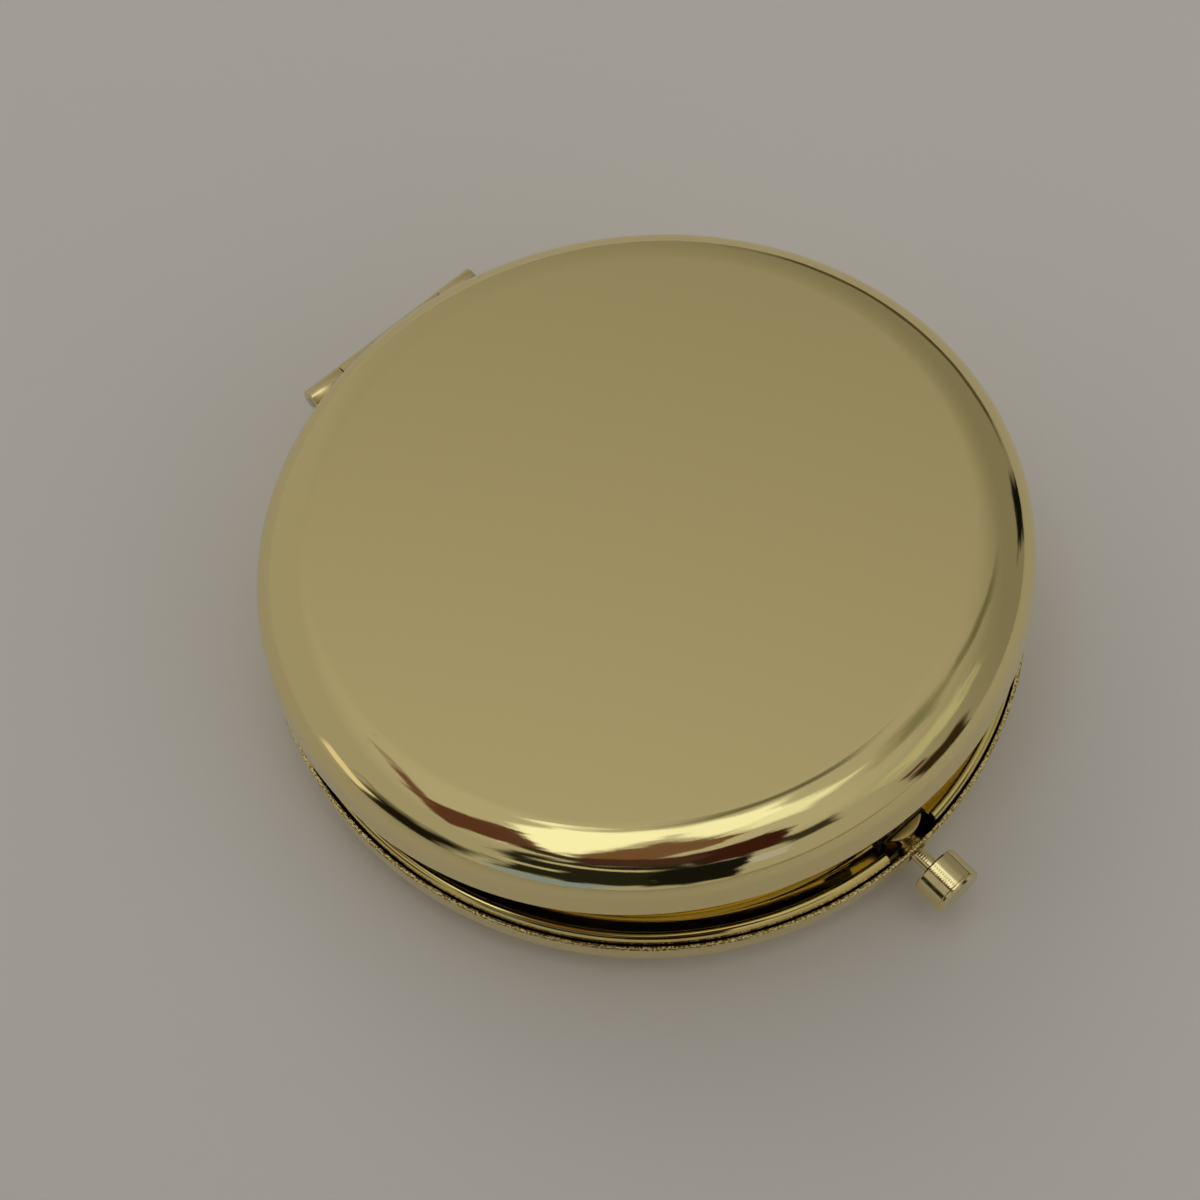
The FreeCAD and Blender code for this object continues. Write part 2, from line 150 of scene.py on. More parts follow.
# %% [markdown]
# ## Polished gold plating
#
# The shells are steel sheet, buffed and plated with a thin pale gold. Plating copies the
# polish below it, so the surface is a mirror with a warm tint: metallic 1 and a very low
# roughness. A single roughness would look like plastic foil, so handling is drawn too: faint
# wiped smears, which only change the roughness, hairline scratches a few hundredths of a
# millimetre wide, drawn coarser here so that they show, and now and then a dark pit where
# the plating missed a grain of dust. The trays are a little less buffed than the shells, and
# the hinge is plated brass that was only tumbled, so it is satin.


# %% Gold plating
smear_mm, scratch_mm, pit_mm = 14, 0.25, 0.13
scratch_turns = (0.4, 1.9)
scratch_stretch = 0.02
scratch_depth_mm = 0.02
pit_colour = linear("#3A2E1C")


def gold_plating(name, colour, smooth, smeared, pit_spacing_mm):
    """Plating that varies between two roughnesses, with hairlines and scattered pits."""
    material, tree, shader, place = start_material(name, Metallic=1.0)
    wiped = {"Scale": per_metre(smear_mm), "Detail": 3.0, "Roughness": 0.6, "Distortion": 0.8}
    smear = add(tree, "TexNoise", {"Vector": place, **wiped}).outputs["Fac"]
    spread = {"From Min": 0.35, "From Max": 0.75, "To Min": smooth, "To Max": smeared}
    sheen = add(tree, "MapRange", {"Value": smear, **spread})

    cells = {"Vector": place, "Scale": per_metre(pit_spacing_mm), "Randomness": 1.0}
    pits = add(tree, "TexVoronoi", cells).outputs["Distance"]
    pit_size = pit_mm / pit_spacing_mm
    spread = {"From Min": pit_size * 0.6, "From Max": pit_size, "To Min": 1.0, "To Max": 0.0}
    pit = add(tree, "MapRange", {"Value": pits, **spread}).outputs["Result"]
    colours = {"Factor": pit, "A": linear(colour), "B": pit_colour}
    tint = add(tree, "Mix", colours, data_type="RGBA")
    fill(shader, {"Base Color": tint.outputs["Result"], "Roughness": sheen.outputs["Result"]})

    lines = []
    for turn in scratch_turns:
        drawn_out = {"Rotation": (0, 0, turn), "Scale": (1, scratch_stretch, 1)}
        turned = add(tree, "Mapping", {"Vector": place, **drawn_out}).outputs["Vector"]
        hair = {"Vector": turned, "Scale": per_metre(scratch_mm), "Detail": 2.0}
        lines.append(add(tree, "TexNoise", hair).outputs["Fac"])
    both = add(tree, "Math", {0: lines[0], 1: lines[1]}, operation="ADD").outputs["Value"]
    relief = {"Height": both, "Strength": 0.03, "Distance": scratch_depth_mm * MM}
    fill(shader, {"Normal": add(tree, "Bump", relief).outputs["Normal"]})
    return material


print("plating has smears, pits and hairlines")

# %% Plate the pressed parts
shell_gold = gold_plating("gold_plated_steel_polished", "#EEDFA4", 0.03, 0.075, 26)
tray_gold = gold_plating("gold_plated_steel_bright", "#EAD78C", 0.05, 0.11, 20)
hinge_gold = gold_plating("gold_plated_brass_satin", "#E6D4A0", 0.12, 0.2, 15)
print("plating:", shell_gold.name, tray_gold.name, hinge_gold.name)

# %% [markdown]
# ## The cut edge of the sheet
#
# The rim is where the press sheared the sheet. The plating covers the torn grain of the
# cut, so it glitters in small grains instead of reflecting cleanly. The grains could be
# modelled, but they are far too many, so one noise with features of about a fifth of a
# millimetre drives the colour, the roughness and the bump together. The colour is pale on
# the raised grains and dark between them, which paints glints on the grains and shade
# between them.

# %% Plated cut edge
grain_mm, grain_depth_mm = 0.22, 0.05
cut_edge, tree, shader, place = start_material("gold_plated_sheared_edge", Metallic=1.0)
crystals = {"Vector": place, "Scale": per_metre(grain_mm), "Detail": 2.0, "Roughness": 0.6}
grain = add(tree, "TexNoise", crystals).outputs["Fac"]
# Painted glints and painted shade: the colour is pale where the grains stand up and dark between
# them.
tear = add(tree, "MapRange", {"Value": grain, "From Min": 0.42, "From Max": 0.55})
colours = {"Factor": tear.outputs["Result"], "A": linear("#A5853F"), "B": linear("#FBEBB0")}
tint = add(tree, "Mix", colours, data_type="RGBA")
spread = {"From Min": 0.3, "From Max": 0.7, "To Min": 0.1, "To Max": 0.3}
rough = add(tree, "MapRange", {"Value": grain, **spread})
fill(shader, {"Base Color": tint.outputs["Result"], "Roughness": rough.outputs["Result"]})
relief = {"Height": grain, "Strength": 0.8, "Distance": grain_depth_mm * MM}
fill(shader, {"Normal": add(tree, "Bump", relief).outputs["Normal"]})
print("edge:", cut_edge.name)

# %% [markdown]
# ## Turned brass, plated
#
# The knob and its stem come off a lathe, so the tool leaves fine rings round their axis, and
# the plating over them keeps the bright streaks that run along the knob. The rings are too
# shallow to be worth modelling, so they are bands along the axis in the bump, a quarter of a
# millimetre apart. The wave texture repeats 20 / (2 pi) times in a unit of its scale, so the
# scale is corrected by that. Wear in patches of about a millimetre dulls the plating.

# %% Gold plating on turned parts
rings_apart_mm, ring_depth_mm, wear_mm = 0.24, 0.02, 0.9
turned_gold, tree, shader, place = start_material("gold_plated_brass_turned", Metallic=1.0)
ring_scale = per_metre(rings_apart_mm) * 2 * math.pi / 20
marks = {"Vector": place, "Scale": ring_scale, "Distortion": 0.6, "Detail": 1.0}
rings = add(tree, "TexWave", marks, wave_type="BANDS", bands_direction="Y")
wear = {"Vector": place, "Scale": per_metre(wear_mm), "Detail": 4.0, "Roughness": 0.65}
worn = add(tree, "TexNoise", wear).outputs["Fac"]
spread = {"From Min": 0.4, "From Max": 0.72, "To Min": 0.06, "To Max": 0.24}
rough = add(tree, "MapRange", {"Value": worn, **spread})
fill(shader, {"Base Color": linear("#EADAA6"), "Roughness": rough.outputs["Result"]})
relief = {"Height": rings.outputs["Fac"], "Strength": 0.12, "Distance": ring_depth_mm * MM}
fill(shader, {"Normal": add(tree, "Bump", relief).outputs["Normal"]})
print("turned:", turned_gold.name)

# %% [markdown]
# ## Bare brass and spring steel
#
# The latch is stamped from bare brass, a little darker and duller than the plating and with
# more pits, so it is the same material with other values. The pin, spring and bracket are
# drawn steel: a neutral grey metal with a fine grain in its roughness.

# %% Brass and steel
steel_grain_mm = 0.3
latch_brass = gold_plating("brass_stamped_bare", "#DCC07A", 0.16, 0.28, 6)

drawn_steel, tree, shader, place = start_material("spring_steel_drawn", Metallic=1.0)
grain = {"Vector": place, "Scale": per_metre(steel_grain_mm), "Detail": 3.0}
drawn = add(tree, "TexNoise", grain).outputs["Fac"]
rough = add(tree, "MapRange", {"Value": drawn, "To Min": 0.18, "To Max": 0.38})
fill(shader, {"Base Color": linear("#B9B7B2"), "Roughness": rough.outputs["Result"]})
print("latch:", latch_brass.name, drawn_steel.name)

# %% [markdown]
# ## Silvered glass and foam
#
# The mirrors are glass silvered at the back. Real glass over a silver layer takes many more
# light bounces and shows the same, so the whole piece is a nearly white metal with a faint
# film from handling. The pads under them are white adhesive foam with open cells about half
# a millimetre wide, drawn by a cell pattern in the bump and in the colour, where it is painted
# shade that darkens the hollow of each cell.

# %% Glass and foam
film_mm, foam_cell_mm, foam_depth_mm = 9, 0.5, 0.1
silvered_glass, tree, shader, place = start_material("mirror_glass_silvered", Metallic=1.0)
touched = {"Vector": place, "Scale": per_metre(film_mm), "Detail": 4.0}
film = add(tree, "TexNoise", touched).outputs["Fac"]
spread = {"From Min": 0.45, "From Max": 0.8, "To Min": 0.012, "To Max": 0.04}
rough = add(tree, "MapRange", {"Value": film, **spread})
fill(shader, {"Base Color": linear("#EDF1EF"), "Roughness": rough.outputs["Result"]})

white_foam, tree, shader, place = start_material("polyethylene_foam_white", Roughness=0.85)
froth = {"Vector": place, "Scale": per_metre(foam_cell_mm)}
cells = add(tree, "TexVoronoi", froth).outputs["Distance"]
# Painted shade: the colour is a little darker in the hollow of each cell, where the bump is
# lowest.
colours = {"Factor": cells, "A": linear("#CFCBC0"), "B": linear("#F1EFE8")}
tint = add(tree, "Mix", colours, data_type="RGBA")
relief = {"Height": cells, "Strength": 0.5, "Distance": foam_depth_mm * MM}
bump = add(tree, "Bump", relief)
fill(shader, {"Base Color": tint.outputs["Result"], "Normal": bump.outputs["Normal"]})
print("mirrors:", silvered_glass.name, white_foam.name)

# %% [markdown]
# ## Drawing and spinning sections
#
# Almost every piece of a compact is round. It could be cut from cylinders, but a section
# that is spun about its axis gives every curve in one go, with even facets. The first two
# functions draw the curved stretches of a section, and the third spins it.


# %% Curve helpers
def oval_bend(centre, across, up, start_degrees, end_degrees, count):
    """Points on part of an oval, as (radius, height) pairs."""
    points = []
    for step in range(count + 1):
        angle = math.radians(start_degrees + (end_degrees - start_degrees) * step / count)
        points.append((centre[0] + across * math.cos(angle), centre[1] + up * math.sin(angle)))
    return points


def bow(first, middle, last, count):
    """Points on the circle through three places, from the first to the last."""
    ax, ay = first
    bx, by = middle
    cx, cy = last
    d = 2 * (ax * (by - cy) + bx * (cy - ay) + cx * (ay - by))
    a2, b2, c2 = ax * ax + ay * ay, bx * bx + by * by, cx * cx + cy * cy
    ux = (a2 * (by - cy) + b2 * (cy - ay) + c2 * (ay - by)) / d
    uy = (a2 * (cx - bx) + b2 * (ax - cx) + c2 * (bx - ax)) / d
    radius = math.hypot(ax - ux, ay - uy)
    start = math.atan2(ay - uy, ax - ux)
    sweep = math.remainder(math.atan2(cy - uy, cx - ux) - start, 2 * math.pi)
    turns = [start + sweep * step / count for step in range(count + 1)]
    return [(ux + radius * math.cos(t), uy + radius * math.sin(t)) for t in turns]


print("curve helpers ready")

# %% Spin helper
tiny, fine_steps = 1e-5, 360


def spin(points, steps, axis="Z", closed=False):
    """Spin (radius, along) points about an axis through the origin."""
    way = {"X": Vector((1, 0, 0)), "Y": Vector((0, 1, 0)), "Z": Vector((0, 0, 1))}[axis]
    out = Vector((0, 0, 1)) if axis == "X" else Vector((1, 0, 0))
    bm = bmesh.new()
    verts = [bm.verts.new(out * r + way * a) for r, a in points]
    for one, two in zip(verts, verts[1:]):
        bm.edges.new((one, two))
    if closed:
        bm.edges.new((verts[-1], verts[0]))
    section = bm.verts[:] + bm.edges[:]
    turn = 2 * math.pi
    bmesh.ops.spin(
        bm, geom=section, cent=(0, 0, 0), axis=way, angle=turn, steps=steps, use_merge=True
    )
    bmesh.ops.remove_doubles(bm, verts=bm.verts[:], dist=tiny)
    bmesh.ops.recalc_face_normals(bm, faces=bm.faces[:])
    return bm


print("spin helper ready")

# %% [markdown]
# ## Cutting a skin
#
# A pressed piece is drawn as one skin and gets its thickness afterwards, as the real one is a
# sheet that was drawn over a die. Notches could be cut from the finished solid by a Boolean,
# but planes that slice the skin before it has a thickness keep the mesh clean, and the edge
# of the notch then gets a thickness too.


# %% Cutting helpers
def face_towards(bm, way):
    """Turn the skin over if its outermost face along a direction points back."""
    way = Vector(way)
    outermost = max(bm.faces, key=lambda face: face.calc_center_median().dot(way))
    if outermost.normal.dot(way) < 0:
        bmesh.ops.reverse_faces(bm, faces=bm.faces[:])


def cut_window(bm, low, high, least_radius=0.0):
    """Cut a block-shaped window out of a skin. None leaves that side open."""
    for axis in range(3):
        for bound in (low[axis], high[axis]):
            if bound is None:
                continue
            place, way = [0, 0, 0], [0, 0, 0]
            place[axis], way[axis] = bound, 1
            whole = bm.verts[:] + bm.edges[:] + bm.faces[:]
            bmesh.ops.bisect_plane(bm, geom=whole, plane_co=place, plane_no=way, dist=tiny)
    inside = []
    for face in bm.faces:
        centre = face.calc_center_median()
        above = all(l is None or c > l for c, l in zip(centre, low))
        below = all(h is None or c < h for c, h in zip(centre, high))
        if above and below and math.hypot(centre.x, centre.y) > least_radius:
            inside.append(face)
    bmesh.ops.delete(bm, geom=inside, context="FACES")


print("cutting helpers ready")

# %% [markdown]
# ## Finishing a piece
#
# The lid's pieces are drawn with the lid shut, where sizes are plain, and turned about the
# hinge to where the lid stands at rest. A finished piece is scaled to metres, gets its sheet
# thickness by Solidify, smooth shading with creases, and its place on a moving body. It
# stays at the origin, with its place in its mesh.


# %% Lid and shading helpers
crease_degrees = 32


def raise_lid(bm):
    """Turn a piece drawn with the lid shut to where the lid stands at rest."""
    turn = Matrix.Rotation(lid_rest_angle, 3, (-1, 0, 0))
    bmesh.ops.rotate(bm, verts=bm.verts[:], cent=(0, hinge_y, hinge_z), matrix=turn)


def shade(piece, degrees=crease_degrees):
    """Shade smooth, with creases where faces meet at more than an angle."""
    piece.data.shade_smooth()
    piece.data.set_sharp_from_angle(angle=math.radians(degrees))


print("lid and shading helpers ready")


# %% Finishing helpers
def thicken(piece, sheet, rim_material):
    """Give a skin its sheet thickness, inwards, with a finish of its own on the cut."""
    skin = piece.data
    wall = piece.modifiers.new("sheet", "SOLIDIFY")
    wall.thickness = sheet * MM
    wall.offset = -1
    wall.use_even_offset = True
    wall.material_offset_rim = rim_material
    depsgraph = bpy.context.evaluated_depsgraph_get()
    solid = bpy.data.meshes.new_from_object(piece.evaluated_get(depsgraph))
    piece.modifiers.clear()
    piece.data = solid
    bpy.data.meshes.remove(skin)
    solid.name = piece.name


def finish_piece(name, bm, body, node, materials, sheet=0.0, crease=crease_degrees):
    """Scale to metres, give a skin its thickness, shade, and hang the piece on its body."""
    bmesh.ops.scale(bm, vec=(MM, MM, MM), verts=bm.verts[:])
    mesh = bpy.data.meshes.new(name)
    bm.to_mesh(mesh)
    bm.free()
    for material in materials:
        mesh.materials.append(material)
    piece = bpy.data.objects.new(name, mesh)
    bpy.context.scene.collection.objects.link(piece)
    if sheet:
        thicken(piece, sheet, len(materials) - 1)
    shade(piece, crease)
    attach(piece, body)
    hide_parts(node)
    print(f"{name}: {len(piece.data.polygons)} faces on {body}")
    return piece


print("finishing helpers ready")

# %% [markdown]
# ## The section of a shell
#
# Each shell is a flat disc with a large rounded shoulder and a short straight wall. Its
# section is a flat, a quarter oval and the wall. A row of points just inside the flat keeps
# the flat's reflection flat right up to where the shoulder starts. The lid's wall opens a
# little towards its rim, as the draft of the die leaves it, and its oval ends a little early
# so that it runs into the wall without a crease.


# %% Shell section
shell_sheet = 0.35
shoulder_width = 5.5
wall_height = 1.8
flat_rings = (0, 8, 16, 24)
hold = 0.15
shoulder_steps = 40


def shell_profile(bottom, mouth, draft_degrees):
    """From the middle of the flat to the rim. The wall opens towards the rim by its draft."""
    side = 1 if mouth > bottom else -1
    flat_end = shell_radius - shoulder_width
    shoulder_height = base_height - wall_height
    centre = (flat_end, bottom + side * shoulder_height)
    flare = math.tan(math.radians(draft_degrees))
    last_turn = math.atan(shoulder_height / shoulder_width * flare)
    straight = wall_height + shoulder_height * math.sin(last_turn)
    across = (shoulder_width - straight * flare) / math.cos(last_turn)
    points = [(r, bottom) for r in (*flat_rings, flat_end - hold)]
    end = -math.degrees(last_turn)
    points += oval_bend(centre, across, side * shoulder_height, -90, end, shoulder_steps)
    for below in (straight - hold, hold, 0):
        points.append((shell_radius - below * flare, mouth - side * below))
    return points


print(f"flat of the shells: {2 * (shell_radius - shoulder_width):.0f} mm across")

# %% [markdown]
# ## The base shell
#
# The base has a hole for the knob's stem and a notch for the hinge. On the real shell the
# hole is round. Here a square window is opened in the wall, each edge of it is split in four,
# and one quarter of each is drawn in to the stem's circle, so small teeth reach in from the
# square. A full circle would need the other quarters drawn in too. The press leaves the outer
# corner of the cut rim slightly rounded, and a polished round catches light, so that corner
# gets a small bevel with the finish of the cut.


# %% Stem hole
near, window_margin = 0.01, 0.1


def pierce_wall(bm, radius, height):
    """Open a square hole in the front wall, with teeth that reach in to a circle."""
    half = radius + window_margin

    def on_window(vert):
        beside, above = abs(vert.co.x), abs(vert.co.z - height)
        return vert.co.y < 0 and beside < half + near and above < half + near

    cut_window(bm, (-half, None, height - half), (half, 0, height + half))
    rim = [e for e in bm.edges if e.is_boundary and all(on_window(v) for v in e.verts)]
    bmesh.ops.subdivide_edges(bm, edges=rim, cuts=3)
    drawn = bmesh.ops.extrude_edge_only(bm, edges=rim)
    for vert in drawn["geom"]:
        if isinstance(vert, bmesh.types.BMVert):
            angle = math.atan2(vert.co.z - height, vert.co.x)
            x, z = radius * math.cos(angle), height + radius * math.sin(angle)
            vert.co = (x, -math.sqrt(shell_radius**2 - x * x), z)
    bmesh.ops.recalc_face_normals(bm, faces=bm.faces[:])


print("stem hole helper ready")

# %% Eased rim
rim_band = 0.05


def ease_rim(piece, mouth, ease):
    """Round the outer corner of a cut rim and give the round the finish of the cut."""
    outside = (shell_radius - rim_band) * MM

    def on_corner(vert):
        at_mouth = abs(vert.co.z - mouth * MM) < 1e-6
        return at_mouth and math.hypot(vert.co.x, vert.co.y) > outside

    bm = bmesh.new()
    bm.from_mesh(piece.data)
    corner = [e for e in bm.edges if all(on_corner(v) for v in e.verts)]
    rounded = bmesh.ops.bevel(
        bm, geom=corner, offset=ease * MM, affect="EDGES", segments=4, profile=0.5, material=-1
    )
    for face in rounded["faces"]:
        face.material_index = 1
    bm.to_mesh(piece.data)
    bm.free()
    shade(piece)
    print(f"{piece.name}: rim eased, {len(rounded['faces'])} faces")


print("rim helper ready")

# %% Press the base shell
rim_ease = 0.17
stem_radius = 0.75
stem_hole_radius = stem_radius + 0.1
knob_low, knob_high = box_mm("push_knob")
plunger_z = (knob_low.z + knob_high.z) / 2
pin_low, pin_high = box_mm("hinge_pin")
hinge_half = pin_high.x
barrel_radius = 1.2
notch_half = hinge_half + 0.2
notch_reach = barrel_radius + 0.1
shell_finish = [shell_gold, cut_edge]

bm = spin(shell_profile(0, base_height, 0), fine_steps)
cut_window(bm, (-notch_half, 0, hinge_z - notch_reach), (notch_half, None, None))
pierce_wall(bm, stem_hole_radius, plunger_z)
face_towards(bm, (0, 0, -1))
lower_shell = finish_piece(
    "base_shell_skin", bm, "base", "base_shell", shell_finish, shell_sheet
)
ease_rim(lower_shell, base_height, rim_ease)

# %% [markdown]
# ## The lid shell
#
# The lid is pressed in the same die as the base and turned over, so it is the same section
# from its flat top down to its rim, with the draft that shows on its wall. Like the base it
# is spun in steps of one degree, because a polished curve shows every facet.

# %% Press the lid shell
lid_draft_degrees = 5
bm = spin(shell_profile(lid_top, lid_rim, lid_draft_degrees), fine_steps)
cut_window(bm, (-notch_half, 0, None), (notch_half, None, hinge_z + notch_reach))
face_towards(bm, (0, 0, 1))
raise_lid(bm)
finish_piece("lid_shell_skin", bm, "lid", "lid_shell", shell_finish, shell_sheet)

# %% [markdown]
# ## The base tray
#
# A thinner pressed tray sits in each shell and holds the mirror. The base tray has a hem that
# stands above the rim and locates the lid, flared a little at its foot, then a low apron, a
# broad bead and the recess for the glass. It is notched at the front for the latch and
# relieved at the back for the hinge leaf. Its ring is seen through the gap, so its curves are
# arcs through three places each, which keeps the streaks of light in it smooth.

# %% Base tray sizes
tray_sheet, tray_gap, tray_foot = 0.3, 0.22, 3.0
hem_width, hem_rise, hem_flare = 0.85, 1.0, 0.12
hem_outer_round, hem_inner_round = 0.6, 0.2
wall_inside = shell_radius - shell_sheet
hem_outer = wall_inside - tray_gap
hem_inner = hem_outer - hem_width
hem_top = base_height + hem_rise
glass_radius = box_mm("base_mirror")[1].x
recess_radius = glass_radius + 0.2
base_floor = 3.5
base_brink = base_height + 0.2
apron_width, apron_end = 1.14, hem_inner - 0.02
bead_rise, step_rise, apron_rise, apron_foot_rise = 0.37, 0.19, 0.155, 0.15
latch_notch_half, latch_notch_depth = 2.85, 0.4
hinge_relief_top = 5.43
print(f"hem {2 * hem_outer:.2f} mm across, recess {2 * recess_radius:.1f} mm across")

# %% Press the base tray
corner = 0.1
tray_finish = [tray_gold, cut_edge]
step_r = hem_inner - apron_width
step = (step_r, base_height + step_rise)
bead_crest = ((recess_radius + step_r) / 2, base_height + bead_rise)
apron_middle = ((step_r + hem_inner) / 2, base_height + apron_rise)
apron_foot = (apron_end, base_height + apron_foot_rise)
inner_bend = (hem_inner + hem_inner_round, hem_top - hem_inner_round)
outer_bend = (hem_outer - hem_outer_round, hem_top - hem_outer_round)
points = [(r, base_floor) for r in (0, recess_radius - corner, recess_radius)]
points += bow((recess_radius, base_brink), bead_crest, step, 24)
points += bow(step, apron_middle, apron_foot, 16)[1:]
points += oval_bend(inner_bend, hem_inner_round, hem_inner_round, 180, 90, 6)
points += oval_bend(outer_bend, hem_outer_round, hem_outer_round, 90, 0, 14)
points += [(hem_outer + hem_flare, z) for z in (base_height, tray_foot)]
bm = spin(points, fine_steps)
notch_back = -recess_radius - latch_notch_depth
cut_window(bm, (-latch_notch_half, None, None), (latch_notch_half, notch_back, None))
relief_high = (notch_half, None, hinge_relief_top)
cut_window(bm, (-notch_half, 0, None), relief_high, hem_outer - corner)
face_towards(bm, (0, 0, 1))
finish_piece("base_tray_skin", bm, "base", "base_tray", tray_finish, tray_sheet)

# %% [markdown]
# ## The lid tray
#
# The lid's tray lies a little behind the rim of the lid, so that the base's hem can enter.
# It has a shallow bead round its mirror and a rounded outer edge, and is cut away for the
# latch and for the hinge leaf.

# %% Press the lid tray
lid_face = hem_top + 0.15
lid_brink = lid_face + 0.45
lid_bead_depth = 0.11
lid_edge_round = 0.3
lid_floor = 10.3
lid_tray_foot = 9.2
slide_low, slide_high = box_mm("latch_slide")
turn_r = hem_outer - lid_edge_round
lid_crest = ((recess_radius + turn_r) / 2, lid_face + lid_bead_depth)
edge_bend = (turn_r, lid_face + lid_edge_round)
points = [(r, lid_floor) for r in (0, recess_radius - corner, recess_radius)]
points += bow((recess_radius, lid_brink), lid_crest, (turn_r, lid_face), 20)
points += oval_bend(edge_bend, lid_edge_round, lid_edge_round, -80, 0, 8)
points += [(hem_outer, lid_tray_foot)]
bm = spin(points, fine_steps)
notch_back = slide_high.y + knob_stroke + 0.3
cut_window(bm, (-latch_notch_half, None, None), (latch_notch_half, notch_back, None))
cut_window(bm, (-notch_half, 0, None), (notch_half, None, None), turn_r)
face_towards(bm, (0, 0, -1))
raise_lid(bm)
finish_piece("lid_tray_skin", bm, "lid", "lid_tray", tray_finish, tray_sheet)

# %% [markdown]
# ## The mirrors
#
# The lid has a flat mirror and the base a slightly hollow, magnifying one. Both have a
# ground bevel round the edge. A bevel modifier would round the edge, but a grinding wheel
# leaves it flat, so the bevel is drawn in the section. They are closed solids, spun from the
# whole half section.

# %% Grind the hollow mirror
glass_bevel, glass_thickness, glass_depth = 0.25, 1.8, 0.5
magnifier_sag = 0.7
glass_steps, glass_crease = 240, 25
rim_r = glass_radius - glass_bevel
base_glass_top = base_brink - glass_depth
half_count = 24
deepest = (0, base_glass_top - magnifier_sag)
whole_bow = bow((-rim_r, base_glass_top), deepest, (rim_r, base_glass_top), 2 * half_count)
points = whole_bow[half_count:] + [
    (glass_radius, base_glass_top - glass_bevel),
    (glass_radius, base_glass_top - glass_thickness),
    (0, base_glass_top - glass_thickness),
]
bm = spin(points, glass_steps)
glass = [silvered_glass]
finish_piece(
    "base_mirror_glass", bm, "base", "base_mirror", glass, crease=glass_crease
)

# %% Grind the flat mirror
lid_glass_face = lid_brink + glass_depth
points = [
    (0, lid_glass_face),
    (rim_r, lid_glass_face),
    (glass_radius, lid_glass_face + glass_bevel),
    (glass_radius, lid_glass_face + glass_thickness),
    (0, lid_glass_face + glass_thickness),
]
bm = spin(points, glass_steps)
raise_lid(bm)
finish_piece(
    "lid_mirror_glass", bm, "lid", "lid_mirror", glass, crease=glass_crease
)

# %% [markdown]
# ## The hinge
#
# Five knuckles stand in a row on one pin: three on the base leaf and two on the lid leaf.
# The real leaf is one strip, rolled round the pin. Here each knuckle is a short tube, spun
# about the pin with its ends rounded off a little, and a web of sheet joins it to the curved
# plate inside the wall. That gives the same look with plain closed shapes.


# %% Joining helpers
def join(bm, other):
    """Add another drawn shape to this one."""
    passing = bpy.data.meshes.new("passing")
    other.to_mesh(passing)
    other.free()
    bm.from_mesh(passing)
    bpy.data.meshes.remove(passing)


def block(low, high):
    """A plain block between two corners."""
    bm = bmesh.new()
    bmesh.ops.create_cube(bm, size=1)
    low, high = Vector(low), Vector(high)
    bmesh.ops.scale(bm, vec=high - low, verts=bm.verts[:])
    bmesh.ops.translate(bm, vec=(low + high) / 2, verts=bm.verts[:])
    return bm


print("joining helpers ready")

# %% Knuckle helper
knuckle_ease = 0.08
pin_bore = (pin_high.z - pin_low.z) / 2 + 0.03


def knuckle(left, right):
    """A short tube on the pin, with rounded outer corners."""
    slight = knuckle_ease * 0.3
    section = [
        (pin_bore, left),
        (barrel_radius - knuckle_ease, left),
        (barrel_radius - slight, left + slight),
        (barrel_radius, left + knuckle_ease),
        (barrel_radius, right - knuckle_ease),
        (barrel_radius - slight, right - slight),
        (barrel_radius - knuckle_ease, right),
        (pin_bore, right),
    ]
    tube = spin(section, 48, "X", closed=True)
    bmesh.ops.translate(tube, vec=(0, hinge_y, hinge_z), verts=tube.verts[:])
    return tube


print(f"hinge bar {2 * hinge_half:.1f} mm long")

# %% Leaf with its knuckles
knuckle_count, knuckle_gap = 5, 0.1
leaf_sheet, leaf_clearance, leaf_setback, web_overlap = 0.4, 0.05, 0.5, 0.3
leaf_out = wall_inside - leaf_clearance
leaf_in = leaf_out - leaf_sheet
leaf_end = hinge_half - leaf_setback


def curved_plate(low, high):
    """The plate of a leaf: a ring inside the wall, sliced off on both sides of the hinge."""
    section = [(leaf_in, low), (leaf_out, low), (leaf_out, high), (leaf_in, high)]
    plate = spin(section, fine_steps, "Z", closed=True)
    for side in (-1, 1):
        whole = plate.verts[:] + plate.edges[:] + plate.faces[:]
        cut, way = (side * leaf_end, 0, 0), (side, 0, 0)
        bmesh.ops.bisect_plane(plate, geom=whole, plane_co=cut, plane_no=way, clear_outer=True)
    front = [face for face in plate.faces if face.calc_center_median().y < 0]
    bmesh.ops.delete(plate, geom=front, context="FACES")
    bmesh.ops.holes_fill(plate, edges=[e for e in plate.edges if e.is_boundary])
    bmesh.ops.recalc_face_normals(plate, faces=plate.faces[:])
    return plate


def hinge_leaf(first, web_low, leaf_low, leaf_high):
    """Every second knuckle from the first, their webs, and the plate behind them."""
    pitch = (2 * hinge_half + knuckle_gap) / knuckle_count
    bm = bmesh.new()
    for index in range(first, knuckle_count, 2):
        left = -hinge_half + index * pitch
        right = left + pitch - knuckle_gap
        join(bm, knuckle(left, right))
        web_start = (max(left, -leaf_end), leaf_out - web_overlap, web_low)
        web_end = (min(right, leaf_end), hinge_y, web_low + leaf_sheet)
        join(bm, block(web_start, web_end))
    join(bm, curved_plate(leaf_low, leaf_high))
    return bm


print(f"leaves for {knuckle_count} knuckles ready")

# %% Roll the hinge leaves
lid_leaf_top = 9.0
base_web = hinge_z - barrel_radius
bm = hinge_leaf(0, base_web, tray_foot, base_web + leaf_sheet)
finish_piece("hinge_base_knuckles", bm, "base", "hinge_base_leaf", [hinge_gold])

lid_web = hinge_z + barrel_radius - leaf_sheet
bm = hinge_leaf(1, lid_web, lid_face, lid_leaf_top)
raise_lid(bm)
finish_piece("hinge_lid_knuckles", bm, "lid", "hinge_lid_leaf", [hinge_gold])

